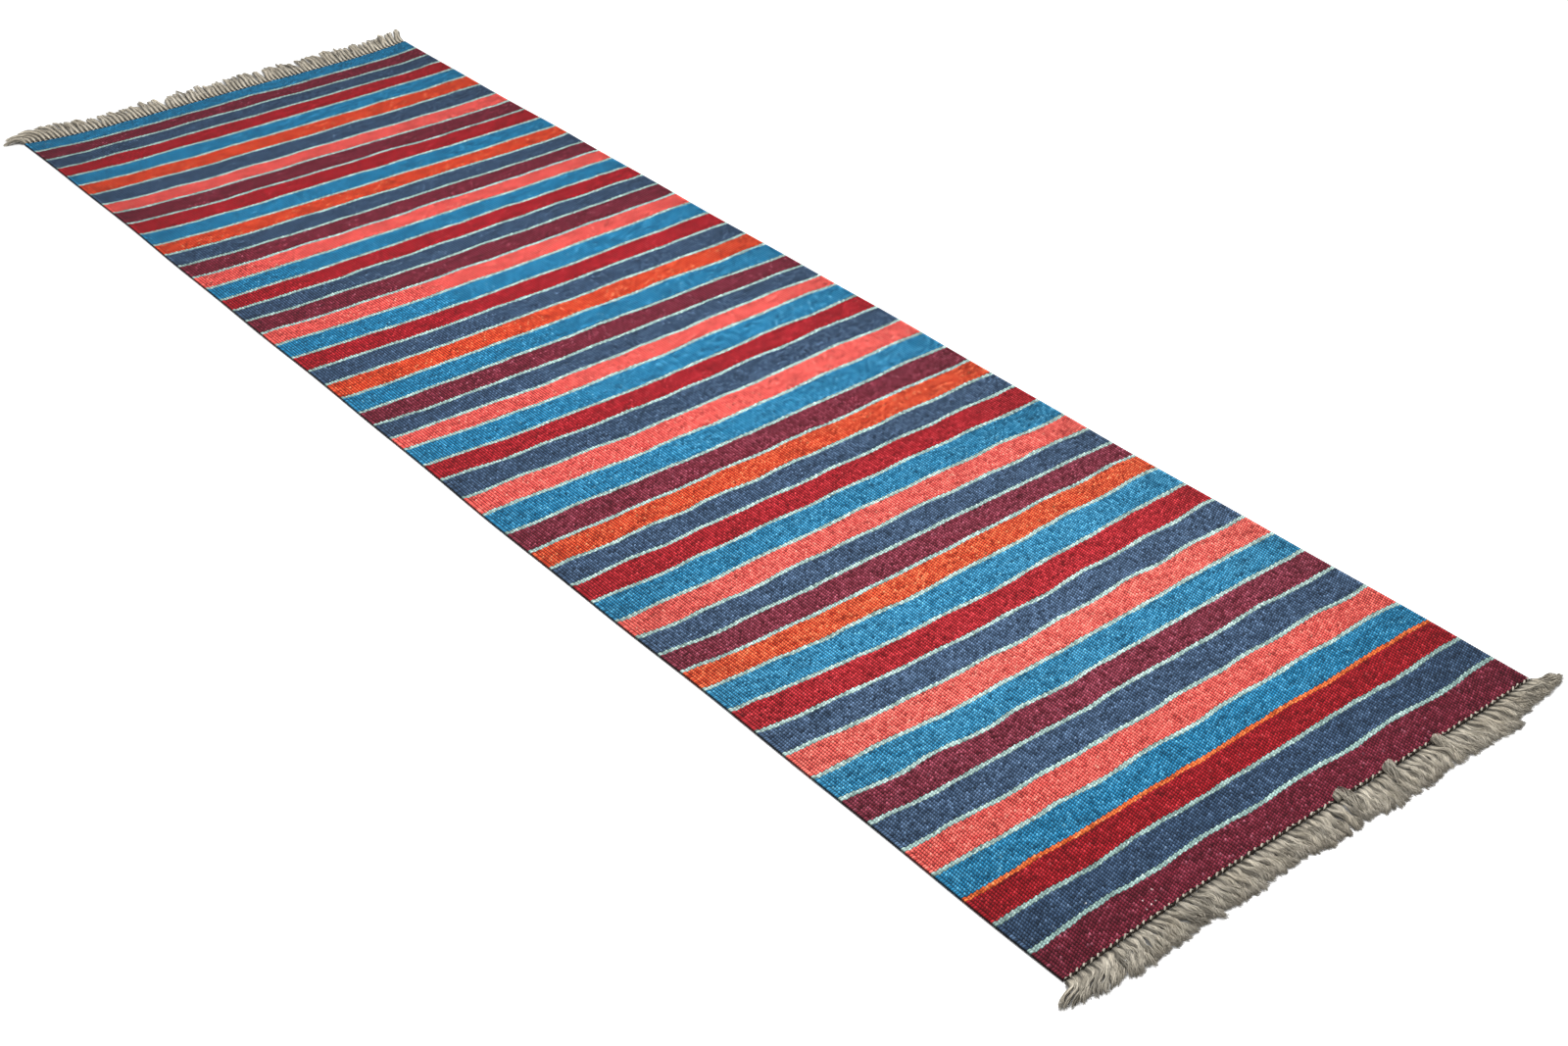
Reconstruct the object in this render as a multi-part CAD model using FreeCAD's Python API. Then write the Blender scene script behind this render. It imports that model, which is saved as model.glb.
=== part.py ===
"""Runner rug: a weft-faced flatweave with coloured bands, pinstripes, selvedges, twined ends and a fringe.

Millimetres. The rug lies flat. X runs across it, +Y along it towards the far end, +Z up from the floor.
The origin is on the floor, under the middle of the whole rug with its fringes.

A sheet of undyed warp yarns runs the length of the rug. Dyed weft is beaten down over the warps until it hides
them, so each band of one colour is a flat sleeve that holds every warp. Short stripes of a second weft part the
bands. A thick cord in each long edge stiffens the selvedge. Two strands twined across each end lock the weft,
and beyond them the warp ends hang free in twos and threes as the fringe.
"""

import FreeCAD, Part
import math
import os

# Driving dimensions
RIB_COUNT = 180
RIB_PITCH = 4.1  # one warp yarn under each rib
SELVEDGE_WIDTH = 6.0
THICKNESS = 4.0
PINSTRIPE_WIDTH = 6.0
WARP_DIAMETER = 1.4
SELVEDGE_CORD_DIAMETER = 2.2
TWINING_WIDTH = 5.0
FAR_TASSEL_RIBS = [2]  # how many ribs' warps go into each tassel, repeated across the rug
NEAR_TASSEL_RIBS = [2, 3, 2, 3, 2]
TASSEL_ROOT_DIAMETER = 3.6
TASSEL_TIP_DIAMETER = 2.0
NEAR_FRINGE_LENGTH = 46.0
FAR_FRINGE_LENGTH = 55.0
FRINGE_UNEVENNESS = 0.08  # share of a tassel's length
CORNER_FLARE = 20.0  # how far the corner tassels lean outwards
FLARE_POWER = 7  # the flare is confined to the corners

# The bands from the far end to the near end, each with its width between pinstripes
BANDS = [
    ("teal", 38), ("plum", 37), ("navy", 37), ("crimson", 39), ("teal", 40), ("orange", 41),
    ("navy", 45), ("coral", 37), ("plum", 44), ("crimson", 43), ("teal", 41), ("orange", 38),
    ("navy", 40), ("plum", 40), ("coral", 37), ("teal", 39), ("crimson", 39), ("navy", 38),
    ("plum", 44), ("coral", 39), ("teal", 43), ("crimson", 41), ("navy", 43), ("orange", 41),
    ("teal", 42), ("plum", 40), ("navy", 37), ("coral", 34), ("teal", 45), ("crimson", 40),
    ("navy", 46), ("coral", 44), ("teal", 46), ("plum", 45), ("orange", 41), ("navy", 39),
    ("crimson", 42), ("teal", 44), ("coral", 39), ("navy", 39), ("plum", 39), ("orange", 38),
    ("teal", 45), ("crimson", 43), ("navy", 42), ("coral", 41), ("teal", 42), ("plum", 41),
    ("navy", 45), ("coral", 40), ("teal", 41), ("crimson", 38), ("navy", 40), ("plum", 44),
]
ORANGE_PINSTRIPE_AFTER = 51  # every other pinstripe is pale

# Worked out from the driving dimensions
RIBS_WIDTH = RIB_COUNT * RIB_PITCH
WEAVE_WIDTH = RIBS_WIDTH + 2 * SELVEDGE_WIDTH
WEAVE_LENGTH = sum(width for _, width in BANDS) + (len(BANDS) - 1) * PINSTRIPE_WIDTH
TOTAL_LENGTH = NEAR_FRINGE_LENGTH + WEAVE_LENGTH + 2 * TWINING_WIDTH + FAR_FRINGE_LENGTH
FAR_TIPS = TOTAL_LENGTH / 2
NEAR_TIPS = -TOTAL_LENGTH / 2
WEAVE_FAR = FAR_TIPS - FAR_FRINGE_LENGTH - TWINING_WIDTH
WEAVE_NEAR = WEAVE_FAR - WEAVE_LENGTH
FRINGE_FAR = WEAVE_FAR + TWINING_WIDTH
FRINGE_NEAR = WEAVE_NEAR - TWINING_WIDTH
MIDDLE_Z = THICKNESS / 2
SELVEDGE_CORD_X = WEAVE_WIDTH / 2 - SELVEDGE_WIDTH / 2
TASSEL_TIP_Z = 0.6 * TASSEL_TIP_DIAMETER


def spaced(count, pitch):
    """Positions of a row of equal steps, centred on zero."""
    return [(i - (count - 1) / 2) * pitch for i in range(count)]


def flat_oval(width, height):
    """A face across the rug, with straight top and bottom and round ends."""
    radius = height / 2
    reach = width / 2 - radius
    top_left = FreeCAD.Vector(-reach, 0, MIDDLE_Z + radius)
    top_right = FreeCAD.Vector(reach, 0, MIDDLE_Z + radius)
    low_right = FreeCAD.Vector(reach, 0, MIDDLE_Z - radius)
    low_left = FreeCAD.Vector(-reach, 0, MIDDLE_Z - radius)
    right_end = FreeCAD.Vector(width / 2, 0, MIDDLE_Z)
    left_end = FreeCAD.Vector(-width / 2, 0, MIDDLE_Z)
    edges = [
        Part.LineSegment(top_left, top_right).toShape(),
        Part.Arc(top_right, right_end, low_right).toShape(),
        Part.LineSegment(low_right, low_left).toShape(),
        Part.Arc(low_left, left_end, top_left).toShape(),
    ]
    return Part.Face(Part.Wire(edges))


def disc(x, diameter):
    """A round face across the rug at mid-thickness."""
    centre = FreeCAD.Vector(x, 0, MIDDLE_Z)
    circle = Part.Circle(centre, FreeCAD.Vector(0, 1, 0), diameter / 2)
    return Part.Face(Part.Wire([circle.toShape()]))


def sleeve_section():
    """The section of a weft band: a flat oval with one slot for the warps and a round end for each edge cord."""
    slot = flat_oval(2 * SELVEDGE_CORD_X, WARP_DIAMETER)
    for x in (-SELVEDGE_CORD_X, SELVEDGE_CORD_X):
        slot = slot.fuse(disc(x, SELVEDGE_CORD_DIAMETER))
    return flat_oval(WEAVE_WIDTH, THICKNESS).cut(slot.removeSplitter())


def along_rug(face, near, far):
    """Extrudes a face across the rug from one Y to another."""
    placed = face.copy()
    placed.translate(FreeCAD.Vector(0, near, 0))
    return placed.extrude(FreeCAD.Vector(0, far - near, 0))


def weft_stripes():
    """Every band by node name, then the pale pinstripes and the orange one."""
    section = sleeve_section()
    bands = {}
    pale = []
    orange = []
    far = WEAVE_FAR
    for number, (colour, width) in enumerate(BANDS, start=1):
        near = far - width
        bands[f"band_{number:02d}_{colour}"] = along_rug(section, near, far)
        if number < len(BANDS):
            stripe = along_rug(section, near - PINSTRIPE_WIDTH, near)
            group = orange if number == ORANGE_PINSTRIPE_AFTER else pale
            group.append(stripe)
        far = near - PINSTRIPE_WIDTH
    return bands, pale, orange


def yarn(x, diameter):
    """A straight yarn inside the weave, from one end of the twining to the other."""
    return along_rug(disc(x, diameter), FRINGE_NEAR, FRINGE_FAR)


def twining_strands(near, far):
    """The upper and the lower strand of one end, with the warps between them."""
    height = (THICKNESS - WARP_DIAMETER) / 2
    whole = along_rug(flat_oval(WEAVE_WIDTH, THICKNESS), near, far)
    corner_x = -WEAVE_WIDTH / 2
    strands = []
    for z in (0, THICKNESS - height):
        corner = FreeCAD.Vector(corner_x, near, z)
        strands.append(whole.common(Part.makeBox(WEAVE_WIDTH, far - near, height, corner)))
    return strands


def tassel(x, root_y, length, outwards):
    """One tapered tassel from the twining down to the floor, leaning sideways near a corner."""
    lean = CORNER_FLARE * (abs(x) / (WEAVE_WIDTH / 2)) ** FLARE_POWER
    root = FreeCAD.Vector(x, root_y, MIDDLE_Z)
    tip = FreeCAD.Vector(x + math.copysign(lean, x), root_y + outwards * length, TASSEL_TIP_Z)
    run = tip - root
    return Part.makeCone(TASSEL_ROOT_DIAMETER / 2, TASSEL_TIP_DIAMETER / 2, run.Length, root, run)


def tassel_places(ribs_in_each):
    """The X of every tassel, from groups of ribs that repeat until no rib is left."""
    places = []
    ribs_used = 0
    while ribs_used < RIB_COUNT:
        ribs = ribs_in_each[len(places) % len(ribs_in_each)]
        places.append((ribs_used + ribs / 2) * RIB_PITCH - RIBS_WIDTH / 2)
        ribs_used += ribs
    return places


def fringe(root_y, longest, outwards, ribs_in_each):
    """A row of tassels of uneven length, one for each group of warps and one for each edge cord."""
    places = [-SELVEDGE_CORD_X] + tassel_places(ribs_in_each) + [SELVEDGE_CORD_X]
    tassels = []
    for number, x in enumerate(places):
        shortening = FRINGE_UNEVENNESS * math.sin(number * number) ** 2
        tassels.append(tassel(x, root_y, longest * (1 - shortening), outwards))
    return tassels


def write(name, solids):
    """Writes one sub-part, checked as closed solids."""
    shape = solids[0] if len(solids) == 1 else Part.makeCompound(solids)
    if not shape.isValid():
        raise ValueError(f"{name} is not a valid shape")
    shape.exportStep(os.path.join("parts", f"{name}.step"))


def main():
    os.makedirs("parts", exist_ok=True)
    bands, pale, orange = weft_stripes()
    for name, band in bands.items():
        write(name, [band])
    write("pale_pinstripes", pale)
    write("orange_pinstripe", orange)
    write("warp_yarns", [yarn(x, WARP_DIAMETER) for x in spaced(RIB_COUNT, RIB_PITCH)])
    write("selvedge_cords", [yarn(x, SELVEDGE_CORD_DIAMETER) for x in (-SELVEDGE_CORD_X, SELVEDGE_CORD_X)])
    near_twining = twining_strands(FRINGE_NEAR, WEAVE_NEAR)
    far_twining = twining_strands(WEAVE_FAR, FRINGE_FAR)
    write("end_twining", near_twining + far_twining)
    near_tassels = fringe(FRINGE_NEAR, NEAR_FRINGE_LENGTH, -1, NEAR_TASSEL_RIBS)
    far_tassels = fringe(FRINGE_FAR, FAR_FRINGE_LENGTH, 1, FAR_TASSEL_RIBS)
    write("fringe_tassels", near_tassels + far_tassels)
    print(f"weave {WEAVE_WIDTH:.0f} x {WEAVE_LENGTH:.0f} mm, {TOTAL_LENGTH:.0f} mm with fringes")


main()
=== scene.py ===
import math

import bpy
import numpy as np
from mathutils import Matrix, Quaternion, Vector


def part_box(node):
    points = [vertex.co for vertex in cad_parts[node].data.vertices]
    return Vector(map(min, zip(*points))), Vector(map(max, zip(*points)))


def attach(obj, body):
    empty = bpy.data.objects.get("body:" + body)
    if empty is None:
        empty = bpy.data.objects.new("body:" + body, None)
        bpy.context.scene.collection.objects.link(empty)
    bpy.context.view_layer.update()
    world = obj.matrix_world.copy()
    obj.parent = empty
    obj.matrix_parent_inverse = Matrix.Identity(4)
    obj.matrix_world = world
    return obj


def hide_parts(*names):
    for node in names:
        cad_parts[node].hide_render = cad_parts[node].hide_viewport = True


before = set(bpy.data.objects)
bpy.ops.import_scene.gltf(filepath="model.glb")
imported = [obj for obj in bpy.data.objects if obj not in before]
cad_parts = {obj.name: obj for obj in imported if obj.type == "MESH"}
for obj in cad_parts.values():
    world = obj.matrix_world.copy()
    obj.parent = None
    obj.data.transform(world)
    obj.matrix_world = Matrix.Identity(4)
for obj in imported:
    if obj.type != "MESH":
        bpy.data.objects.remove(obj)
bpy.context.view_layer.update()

# Metres, in the frame of the CAD: X across the rug, +Y towards its far end, +Z up from the floor
MM = 0.001
ROOT = "root"
RANDOM = np.random.default_rng(20)

# The camera: where it stands, the point on the rug that it looks at, and how far its horizon leans
CAMERA_PLACE = Vector((-1.514, -2.300, 1.552))
CAMERA_AIM = Vector((-0.090, -0.480, 0.004))
CAMERA_ROLL = math.radians(-0.63)
CAMERA_LENS = 50.26

# The studio
KEY_PLACE = (0.15, -0.3, 2.4)
KEY_AIM = Vector((0.0, -0.5, 0.0))
KEY_SIZE = 1.0
KEY_POWER = 66
WORLD_STRENGTH = 0.9
FLOOR_REACH = 30.0
FLOOR_COLOUR = (0.9, 0.9, 0.9, 1)

# The shape of the weave
RIB_COUNT = 180
SELVEDGE = 6.0 * MM
PIP = 3.35 * MM  # one weft crossing over a warp, measured along the rug
PIP_STAGGER = PIP / 4  # each rib's pips lie half a pip from its neighbour's
PIP_SLANT = PIP / 8  # a pip's right side lies this much further along than its middle
PIP_UNEVENNESS = 0.07  # how much one pip's height differs from the next
RIB_DEPTH = 0.9 * MM
RIB_SHOULDERS = (0.35, 0.65)  # where the flat top of a rib starts and ends, as shares of its width
PIP_DEPTH = 0.45 * MM
PINSTRIPE_PIPS = 2
PINSTRIPE_PIECES = ("far", "middle", "near")
TEETH = 0.6  # how much of a rib's own shift is left where two colours meet
TEETH_POWER = 6  # the higher, the closer to that line the shift starts to shrink
UNDER_PROFILE = 0.5  # how high the plainer underside stands, between a pip's foot and its top
EDGE_CORD_PROFILE = [  # share of the selvedge's width from outside, and height in rib depths
    (0.0, 0.0), (0.04, 0.62), (0.17, 0.93), (0.42, 1.06), (0.68, 0.95), (0.87, 0.55),
]
TOP_PHASES = np.array([0.0, 0.36, 0.64])  # the rows of vertices of one pip, as shares of its length
TOP_PROFILE = np.array([0.0, 1.0, 1.0])  # and how high each of them stands
DRIFT = 0.9 * MM  # how far a pinstripe wanders from its place, in up to so many waves across the rug
DRIFT_WAVES = 7
SWELL = 0.35 * MM  # how far each line between two colours wanders on its own
SWELL_WAVES = 22
EDGE_WAVES = [  # how the long edges wander: phase, length along the rug, height
    (0.3, 1.90, 1.6 * MM),
    (1.7, 0.83, 0.9 * MM),
    (4.1, 0.31, 0.5 * MM),
]
LIFT = 0.11 * MM  # how high the cloth's low waves are
LIFT_MIDDLE = 0.35  # how much of that is left in the middle of the rug
LIFT_WAVES = [  # share of the height, radians per metre along the rug and across it, phase
    (1.0, 5.1, 2.0, 0.4),
    (0.7, 11.3, -4.0, 1.9),
    (0.4, 23.0, 9.0, 0.0),
]
WARP_RADIUS = 0.7 * MM
EDGE_CORD_RADIUS = 1.1 * MM
WARP_STEPS = 60
WARP_SIDES = 5

# The looks of the weave
EDGE_SHADE = [0.10, 0.14, 0.5]  # painted shade on the outer side of each selvedge, as shares of the dye's own light
EDGE_PAINTED_SHADE = 0.2  # painted shade: how much darker the cloth gets towards its long edges
EDGE_PAINTED_SHADE_POWER = 4
STRIPE_TONES = (0.96, 1.04)  # how light one stripe may be against another of its colour
OWN_TONE = 0.2  # how much one crossing differs from the next
OWN_PALENESS = 0.16
STREAK_TONE = 0.10  # how much one row of weft differs from the next, along the weft
STREAK_WAVES = 14
TONE_LIMITS = (0.4, 1.6)
PALENESS_LIMITS = (0, 0.8)
FLECK = 1.0  # the paleness of a fleck, and of a knot
KNOT = 2.0
FLECK_RANGE = (0, 1)  # the paleness over which the weft turns to the colour of flecks, and of knots
KNOT_RANGE = (1.2, 1.8)
TOP_CRESTS = (0.12, 1.0)  # how high a rib counts for its light, at a pip's foot and at its top
# how high the underside counts for its painted light
UNDER_CREST = 0.8
PAINTED_LIGHT_ALONG_RUG = [  # share of the weave's length from its near end, the painted light on the dye, and how pale painted sheen makes it
    (0.00, 0.90, 0.00), (0.02, 0.94, 0.02), (0.04, 0.81, 0.02), (0.06, 0.97, 0.15), (0.11, 1.00, 0.25),
    (0.17, 0.99, 0.31), (0.30, 0.96, 0.18), (0.42, 0.99, 0.08), (0.60, 1.04, -0.04), (0.75, 1.03, -0.12),
    (0.87, 1.01, -0.16), (1.00, 0.95, -0.18),
]
KNOTS = [  # small pale knots and lint caught in the weave, in mm
    (-348, 1247), (-343, 1244), (-350, 1186), (-344, 1184), (-339, 1187),
    (-234, -1244), (-231, -1254), (-240, -1256), (-224, -1252), (-282, -1211), (-215, -1239),
]
KNOT_RADIUS = 1.2 * MM

# The ends
TWINING_WIDTH = 5.0 * MM
TWINING_MARGIN = 1.5 * MM  # how far inside the long edges the strands turn back
TWINING_TURN_STEPS = 12
TWINING_SIDES = 8
TWINING_ANGLE_SPREAD = 0.45
TWINING_DRIFT = 0.3 * MM
TWINING_DRIFT_WAVES = 40
TWINING_TONE = 0.12
TWINING_TONE_WAVES = 60
TWINING_CREST = 0.9
TWINING_STRANDS = [
    # name, material, phase, how far past the last weft at the near end and at the far end, swing along the
    # rug, height of its middle, rise, radius
    ("cream", "twining", math.pi / 2, 0.3 * MM, 1.9 * MM, 1.2 * MM, 2.6 * MM, 1.1 * MM, 1.15 * MM),
    ("dark", "dark_twining", -math.pi / 2, 1.9 * MM, 0.3 * MM, 0.9 * MM, 2.6 * MM, 0.9 * MM, 1.55 * MM),
]
FAR_TASSEL_RIBS = [2]  # how many ribs' warps go into each tassel, repeated across the rug
NEAR_TASSEL_RIBS = [2, 3, 2, 3, 2]

# How far the stripes wander along the rug, in mm: the share of the weave's length from its near end, then the
# offset at the left edge, the left quarter, the middle, the right quarter and the right edge
BOW = [
    (0.00, (-6, 2, 2, -1, 0)),
    (0.05, (-2, -2, 0, 3, 3)),
    (0.12, (2, -3, -1, 3, 3)),
    (0.21, (8, -6, -8, 2, 9)),
    (0.27, (-1, -4, 1, 3, 2)),
    (0.37, (-4, -3, -1, 3, 8)),
    (0.42, (3, -3, -4, 4, 8)),
    (0.49, (5, -7, -6, 3, 6)),
    (0.55, (-1, -2, 0, 2, 2)),
    (0.63, (6, -4, -5, 1, 8)),
    (0.71, (0, -3, -1, 2, 4)),
    (0.78, (11, -1, -2, -3, 0)),
    (0.86, (16, -2, -3, -6, -2)),
    (0.92, (9, -4, -5, -2, 5)),
    (0.96, (5, -1, -2, -3, 3)),
    (1.00, (13, -9, -6, -8, 8)),
]

BAND_NODES = sorted(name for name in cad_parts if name.startswith("band_"))
FIRST_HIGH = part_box(BAND_NODES[0])[1]
LAST_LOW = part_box(BAND_NODES[-1])[0]
HALF_WIDTH = FIRST_HIGH.x
THICKNESS = FIRST_HIGH.z
WEAVE_FAR = FIRST_HIGH.y
WEAVE_NEAR = LAST_LOW.y
WEAVE_LENGTH = WEAVE_FAR - WEAVE_NEAR
RIBS_LEFT = -HALF_WIDTH + SELVEDGE
RIB_PITCH = (2 * HALF_WIDTH - 2 * SELVEDGE) / RIB_COUNT
EDGE_CORD_X = HALF_WIDTH - SELVEDGE / 2


# ---------------------------------------------------------------- meshes

def new_piece(name, points, faces, material, attributes=None, flat_faces=()):
    """A mesh object from points and arrays of faces with 3 or 4 corners; flat_faces aren't smoothed."""
    mesh = bpy.data.meshes.new(name)
    groups = list(faces) + list(flat_faces)
    totals = np.concatenate([np.full(len(g), g.shape[1]) for g in groups])
    corners = np.concatenate([g.ravel() for g in groups])
    starts = np.concatenate([[0], np.cumsum(totals)[:-1]])
    smooth = np.concatenate([np.full(len(g), i < len(faces)) for i, g in enumerate(groups)])
    mesh.vertices.add(len(points))
    mesh.vertices.foreach_set("co", np.asarray(points, np.float32).ravel())
    mesh.loops.add(len(corners))
    mesh.loops.foreach_set("vertex_index", corners.astype(np.int32))
    mesh.polygons.add(len(totals))
    mesh.polygons.foreach_set("loop_start", starts.astype(np.int32))
    mesh.polygons.foreach_set("use_smooth", smooth)
    mesh.update(calc_edges=True)
    for key, values in (attributes or {}).items():
        layer = mesh.attributes.new(key, "FLOAT", "POINT")
        layer.data.foreach_set("value", np.asarray(values, np.float32).ravel())
    mesh.materials.append(material)
    piece = bpy.data.objects.new(name, mesh)
    bpy.context.scene.collection.objects.link(piece)
    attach(piece, ROOT)
    return piece


def grid_faces(index):
    """Four-cornered faces over a grid of point numbers, facing up where rows run to +Y and columns to +X."""
    return np.stack([index[:-1, :-1], index[:-1, 1:], index[1:, 1:], index[1:, :-1]], axis=-1).reshape(-1, 4)


# ---------------------------------------------------------------- the shape of the weave

NOISE_SINES = 5
NOISE_FREQUENCIES = (0.4, 1.0)  # shares of the highest number of waves


def smooth_noise(size, waves):
    """A smooth random curve of unit spread over size samples, with up to so many waves in it."""
    at = np.linspace(0, 1, size)
    total = np.zeros(size)
    for _ in range(NOISE_SINES):
        frequency = RANDOM.uniform(*NOISE_FREQUENCIES) * waves
        total += np.sin(2 * np.pi * (frequency * at + RANDOM.uniform()))
    return total / math.sqrt(NOISE_SINES / 2)


def bow(x, y):
    """How far the stripes lie from straight at a place on the weave."""
    shares = [share for share, _ in BOW]
    share = np.clip((y - WEAVE_NEAR) / WEAVE_LENGTH, 0, 1)
    offsets = np.array([offset for _, offset in BOW]) * MM
    across = np.linspace(-1, 1, offsets.shape[1])
    here = [np.interp(share, shares, offsets[:, i]) for i in range(len(across))]
    return np.polyval(np.polyfit(across, here, len(across) - 1), x / HALF_WIDTH)


def edge_shift(x, y):
    """How far the long edges wander sideways; the middle follows a little."""
    side = np.sign(x)
    waves = [height * np.sin(2 * np.pi * y / length + phase + side) for phase, length, height in EDGE_WAVES]
    return sum(waves) * (x / HALF_WIDTH) ** 2


def lift(x, y):
    """How far the cloth stands off the floor: long low waves, highest near the edges."""
    waves = [share * np.sin(along * y + across * x + phase) for share, along, across, phase in LIFT_WAVES]
    lowest = -sum(share for share, *_ in LIFT_WAVES)
    edges = LIFT_MIDDLE + (1 - LIFT_MIDDLE) * (x / HALF_WIDTH) ** 2
    return LIFT * (sum(waves) - lowest) * edges


class Columns:
    """The columns of vertices across the weave: side, edge cord, ribs with two shoulders, edge cord, side."""

    def __init__(self):
        place, height, rib = [], [], []
        for share, rise in EDGE_CORD_PROFILE:
            place.append(-HALF_WIDTH + share * SELVEDGE)
            height.append(rise)
            rib.append(0)
        for number in range(RIB_COUNT):
            left = RIBS_LEFT + number * RIB_PITCH
            place += [left] + [left + shoulder * RIB_PITCH for shoulder in RIB_SHOULDERS]
            height += [0.0, 1.0, 1.0]
            rib += [number + 1] * 3
        place.append(RIBS_LEFT + RIB_COUNT * RIB_PITCH)
        height.append(0.0)
        rib.append(RIB_COUNT + 1)
        for share, rise in reversed(EDGE_CORD_PROFILE):
            place.append(HALF_WIDTH - share * SELVEDGE)
            height.append(rise)
            rib.append(RIB_COUNT + 1)
        self.count = len(place)
        self.x = np.array(place)
        self.height = np.array(height)
        self.rib = np.array(rib)
        groove = self.height == 0.0
        slant = np.where(np.roll(groove, 1), -PIP_SLANT, PIP_SLANT)
        self.shift = np.where(groove, 0.0, np.where(self.rib % 2 == 0, PIP_STAGGER, -PIP_STAGGER) + slant)
        self.side = np.zeros(self.count, bool)
        self.side[[0, -1]] = True
        self.crest = np.minimum(self.height, 1.0)
        # painted shade, darker towards the long edges of the cloth
        self.shade = 1 - EDGE_PAINTED_SHADE * (self.x / HALF_WIDTH) ** EDGE_PAINTED_SHADE_POWER
        # painted shade on the outer side of each selvedge, and on the underside next to it
        self.shade[:len(EDGE_SHADE)] = EDGE_SHADE
        self.shade[-len(EDGE_SHADE):] = EDGE_SHADE[::-1]


COLUMNS = Columns()


def stripe_boundaries():
    """The lines between stripes, from the far end to the near end, as Y over the columns."""
    nominal = []
    for name in BAND_NODES:
        low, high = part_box(name)
        nominal += [high.y, low.y]
    lines = []
    drift = np.zeros(COLUMNS.count)
    for number, y in enumerate(nominal):
        if number % 2 == 1:
            drift = DRIFT * smooth_noise(COLUMNS.count, DRIFT_WAVES)
        swell = SWELL * smooth_noise(COLUMNS.count, SWELL_WAVES)
        if number in (0, len(nominal) - 1):
            drift = np.zeros(COLUMNS.count)
        lines.append(y + bow(COLUMNS.x, y) + drift + swell)
    return lines


def stripe_surface(near, far, pips, rows, profile, relief, side):
    """The points of a stripe's upper face (side 1) or lower face (-1); rows count pips from the near line."""
    share = rows[:, None] / pips
    teeth = 1 - (1 - TEETH) * abs(2 * share - 1) ** TEETH_POWER
    y = near + share * (far - near) + COLUMNS.shift * teeth
    x = COLUMNS.x + edge_shift(COLUMNS.x, y)
    height = COLUMNS.height * RIB_DEPTH - (1 - profile[:, None]) * PIP_DEPTH * (COLUMNS.height > 0)
    half = np.where(COLUMNS.side, 0.0, THICKNESS / 2 - RIB_DEPTH + height * relief)
    return np.stack([x, y, THICKNESS / 2 + side * half + lift(x, y)], axis=-1)


def sleeve_faces(top, under):
    """The faces that join a grid of top points and a grid of under points into a closed sleeve."""
    quads = [grid_faces(top), grid_faces(under)[:, ::-1]]
    triangles = []
    step = len(TOP_PHASES)
    for side, edge, turn in ((top[:, 0], under[:, 0], 1), (top[:, -1], under[:, -1], -1)):
        s = [side[k:len(side) - step + k:step] for k in range(step)] + [side[step::step]]
        b0, b1 = edge[:-1], edge[1:]
        for corners in ((s[0], s[1], b0), (s[1], s[2], b0), (s[2], b1, b0), (s[2], s[3], b1)):
            triangles.append(np.stack(corners, axis=-1)[:, ::turn])
    caps = []
    for upper, lower, turn in ((top[0], under[0], 1), (top[-1], under[-1], -1)):
        strip = np.stack([upper[1:-2], lower[:-1], lower[1:], upper[2:-1]], axis=-1)
        caps.append(strip[:, ::turn])
        ends = np.array([[upper[0], lower[0], upper[1]], [upper[-1], upper[-2], lower[-1]]])
        triangles.append(ends[:, ::turn])
    return quads, triangles, caps


def pip_looks(share, shape, tone, fleck_share):
    """How light and how pale each crossing is: its own part, a streak along the weft, and painted light and
    sheen along the rug.
    """
    places, painted_light, paleness = np.array(PAINTED_LIGHT_ALONG_RUG).T
    own = RANDOM.normal(0.0, 1.0, shape)
    streak = np.array([smooth_noise(shape[1], STREAK_WAVES) for _ in range(shape[0])])
    # painted light along the rug scales the dye, and painted sheen along it adds to the paleness
    pip_tone = tone * np.interp(share, places, painted_light) * (1 + OWN_TONE * own + STREAK_TONE * streak)
    pip_pale = np.clip(np.interp(share, places, paleness) + OWN_PALENESS * own, *PALENESS_LIMITS)
    pip_pale[RANDOM.random(shape) < fleck_share] = FLECK
    return np.clip(pip_tone, *TONE_LIMITS), pip_pale


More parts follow.
